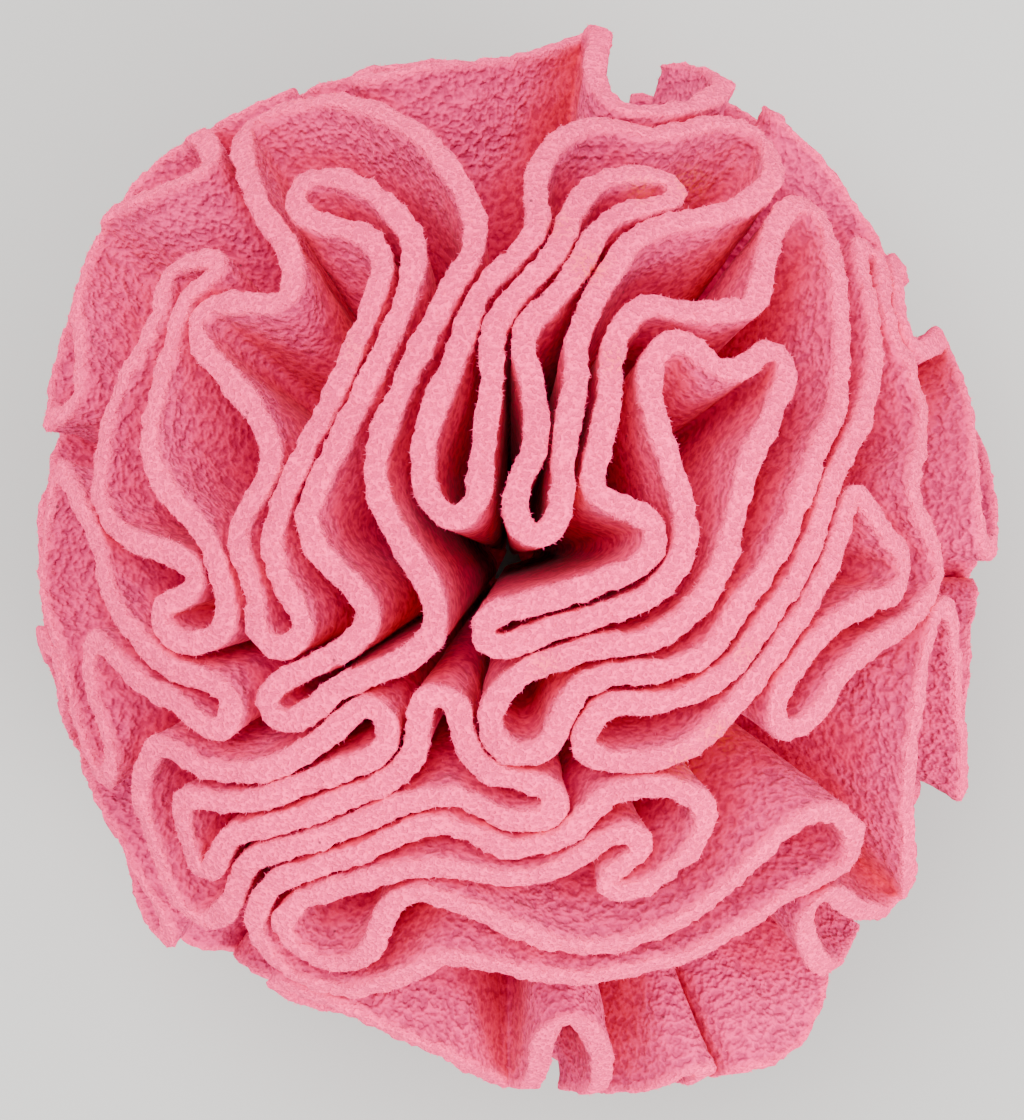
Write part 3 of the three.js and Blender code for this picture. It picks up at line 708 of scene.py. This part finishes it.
# %% Where the fibres stand
# Depths below the rim: of the corners of the raw edge, where its top ends, and of the last stray fibres.
CORNER_DEPTH = 0.9 * MM
TOP_DEPTH = 1.6 * MM
STRAY_DEPTH = 8 * MM
TOP_SHARE = 0.35
STRAY_SHARE = 0.12


def mark_fringe(sheet):
    """More fibres on the corners of the raw edge, fewer on its top, and hardly any down the wall."""
    mesh = sheet.data
    deep = np.empty(len(mesh.vertices), np.float32)
    mesh.attributes["deep"].data.foreach_get("value", deep)
    corner = np.exp(-(((deep - CORNER_DEPTH) / CORNER_DEPTH) ** 2))
    fringe = TOP_SHARE * (deep < TOP_DEPTH) + corner + STRAY_SHARE * (deep < STRAY_DEPTH)
    mesh.attributes.new("fringe", "FLOAT", "POINT").data.foreach_set("value", fringe.astype(np.float32))


for sheet in sheets.values():
    mark_fringe(sheet)


# %% Scatter the fibres
CROWN_FIBRES = 2.3e6
SIDE_FIBRES = 0.9e6
SHORTEST = 0.5
LONGEST = 1.4
FIBRE_SIZES = {
    "Fibres per square metre": {"value": CROWN_FIBRES, "kind": "NodeSocketFloat"},
    "Length": {"value": 0.42 * MM, "kind": "NodeSocketFloat"},
    "Thickness": {"value": 0.04 * MM, "kind": "NodeSocketFloat"},
    "Lean": {"value": 1.2, "kind": "NodeSocketFloat"},
    "Seed": {"value": 7, "kind": "NodeSocketInt"},
}


def random_lean(tree, most, seed):
    """Turns about all three axes, each up to the most, to either side."""
    least = times(tree, most, -1.0)
    low = add_node(tree, "ShaderNodeCombineXYZ", {0: least, 1: least, 2: least}).outputs[0]
    high = add_node(tree, "ShaderNodeCombineXYZ", {0: most, 1: most, 2: most}).outputs[0]
    sockets = {0: low, 1: high, "Seed": seed}
    return add_node(tree, "FunctionNodeRandomValue", sockets, data_type="FLOAT_VECTOR").outputs[0]


def fringe_tree():
    tree = bpy.data.node_groups.new("fibre ends on fleece", "GeometryNodeTree")
    tree.interface.new_socket("Geometry", in_out="INPUT", socket_type="NodeSocketGeometry")
    for title, row in FIBRE_SIZES.items():
        socket = tree.interface.new_socket(title, in_out="INPUT", socket_type=row["kind"])
        socket.default_value = row["value"]
    tree.interface.new_socket("Geometry", in_out="OUTPUT", socket_type="NodeSocketGeometry")
    given = tree.nodes.new("NodeGroupInput").outputs
    named = {"Name": "fringe"}
    fringe = add_node(tree, "GeometryNodeInputNamedAttribute", named, data_type="FLOAT").outputs[0]
    points = add_node(
        tree, "GeometryNodeDistributePointsOnFaces",
        {
            "Mesh": given["Geometry"], "Seed": given["Seed"],
            "Density": times(tree, fringe, given["Fibres per square metre"]),
        },
    )
    lean = random_lean(tree, given["Lean"], given["Seed"])
    leaning = add_node(tree, "FunctionNodeEulerToRotation", {0: lean}).outputs[0]
    turned = add_node(
        tree, "FunctionNodeRotateRotation", {0: points.outputs["Rotation"], 1: leaning}, rotation_space="LOCAL"
    ).outputs[0]
    spike = add_node(
        tree, "GeometryNodeMeshCone",
        {"Vertices": 3, "Radius Top": 0.0, "Radius Bottom": given["Thickness"], "Depth": given["Length"]},
        fill_type="NONE",
    ).outputs["Mesh"]
    sizes = {2: SHORTEST, 3: LONGEST, "Seed": given["Seed"]}
    size = add_node(tree, "FunctionNodeRandomValue", sizes, data_type="FLOAT").outputs[1]
    spikes = add_node(
        tree, "GeometryNodeInstanceOnPoints",
        {"Points": points.outputs["Points"], "Instance": spike, "Rotation": turned, "Scale": size},
    ).outputs[0]
    real = add_node(tree, "GeometryNodeRealizeInstances", {0: spikes}).outputs[0]
    coloured = add_node(tree, "GeometryNodeSetMaterial", {"Geometry": real, "Material": fibre_ends})
    add_node(tree, "NodeGroupOutput", {0: coloured.outputs[0]})
    return tree


def give_inputs(modifier, tree, values):
    """Sets a modifier's inputs by the identifiers of their sockets."""
    for item in tree.interface.items_tree:
        if item.item_type == "SOCKET" and item.in_out == "INPUT" and item.name in values:
            modifier[item.identifier] = values[item.name]


def scatter(tree, names, title, values):
    """One mesh of fibre ends for a group of pieces."""
    together = bmesh.new()
    for number, name in enumerate(names):
        carrier = bpy.data.objects.new("carrier", sheets[name].data)
        bpy.context.scene.collection.objects.link(carrier)
        modifier = carrier.modifiers.new("fibres", "NODES")
        modifier.node_group = tree
        give_inputs(modifier, tree, {**values, "Seed": number})
        shown = carrier.evaluated_get(bpy.context.evaluated_depsgraph_get())
        made = bpy.data.meshes.new_from_object(shown)
        together.from_mesh(made)
        bpy.data.objects.remove(carrier)
        bpy.data.meshes.remove(made)
    mesh = bpy.data.meshes.new(title)
    together.to_mesh(mesh)
    together.free()
    mesh.materials.append(fibre_ends)
    piece = bpy.data.objects.new(title, mesh)
    bpy.context.scene.collection.objects.link(piece)
    print(title, "faces:", len(mesh.polygons))
    return piece


fringes = []
tree = fringe_tree()
crown = [name for name, row in PIECES.items() if row["step"] == FINE_STEP]
sides = [name for name in PIECES if name not in crown]
fringes.append(scatter(tree, crown, "fibre_ends_crown", {"Fibres per square metre": CROWN_FIBRES}))
fringes.append(scatter(tree, sides, "fibre_ends_sides", {"Fibres per square metre": SIDE_FIBRES}))

# %% [markdown]
# ## Handing the sheets to the model
#
# Every sheet rides on the ball and stands for its own imported piece, which is hidden. Each is a round cut
# flat to the width in the table, then drawn together in the middle.

for name, sheet in sheets.items():
    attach(sheet, "root")
    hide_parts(name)
for piece in fringes:
    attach(piece, "root")

# %% [markdown]
# ## Floor, light and camera
#
# The ball lies on a plain pale floor under a broad, soft light, as on a studio table, and is seen from
# straight above. A long lens half a metre away keeps the perspective of a hand-held picture.

# %% Floor
FLOOR_SIZE = 3.0


def floor_material():
    material = bpy.data.materials.new("matt pale studio paper")
    material.use_nodes = True
    shader = material.node_tree.nodes["Principled BSDF"]
    shader.inputs["Base Color"].default_value = colour("#A7A7A4")
    shader.inputs["Roughness"].default_value = 0.9
    shader.inputs["Specular IOR Level"].default_value = 0.2
    return material


floor_mesh = bpy.data.meshes.new("studio_floor")
half = FLOOR_SIZE / 2
floor_corners = [(-half, -half, 0), (half, -half, 0), (half, half, 0), (-half, half, 0)]
floor_mesh.from_pydata(floor_corners, [], [(0, 1, 2, 3)])
floor_mesh.materials.append(floor_material())
studio_floor = bpy.data.objects.new("studio_floor", floor_mesh)
bpy.context.scene.collection.objects.link(studio_floor)


# %% Light
LIGHTS = {
    "soft box overhead": {"place": (-0.35, 0.45, 1.3), "wide": 0.9, "watts": 20.0},
    "soft box low": {"place": (0.9, -0.8, 0.7), "wide": 0.8, "watts": 28.0},
}
ROOM_LIGHT = 3.1


def soft_light(title, place, wide, watts):
    """A square soft box that looks at the ball."""
    lamp = bpy.data.lights.new(title, "AREA")
    lamp.shape = "SQUARE"
    lamp.size = wide
    lamp.energy = watts
    holder = bpy.data.objects.new(title, lamp)
    holder.location = place
    holder.rotation_euler = (Vector(HEART) - Vector(place)).to_track_quat("-Z", "Y").to_euler()
    bpy.context.scene.collection.objects.link(holder)


for title, row in LIGHTS.items():
    soft_light(title, **row)
world = bpy.data.worlds.new("pale studio")
world.use_nodes = True
world.node_tree.nodes["Background"].inputs["Color"].default_value = colour("#F4F4F4")
world.node_tree.nodes["Background"].inputs["Strength"].default_value = ROOM_LIGHT
bpy.context.scene.world = world

# %% Camera
IMAGE_HIGH = 1120
# The photograph shows the crown at 8 of its pixels to a millimetre, and the lens follows from that.
CROWN_SCALE = 8 / MM
SENSOR = 36
OFF_CENTRE = np.array([0.25, -0.5]) * MM

camera = bpy.data.cameras.new("overhead")
camera.sensor_width = SENSOR
camera.lens = camera.sensor_width * CROWN_EYE / (IMAGE_HIGH / CROWN_SCALE)
camera.clip_start = 0.01
overhead = bpy.data.objects.new("overhead", camera)
overhead.location = (HEART[0] + OFF_CENTRE[0], HEART[1] + OFF_CENTRE[1], HEART[2] + EYE_HEIGHT)
bpy.context.scene.collection.objects.link(overhead)
bpy.context.scene.camera = overhead
print("lens:", round(camera.lens, 1), "mm")
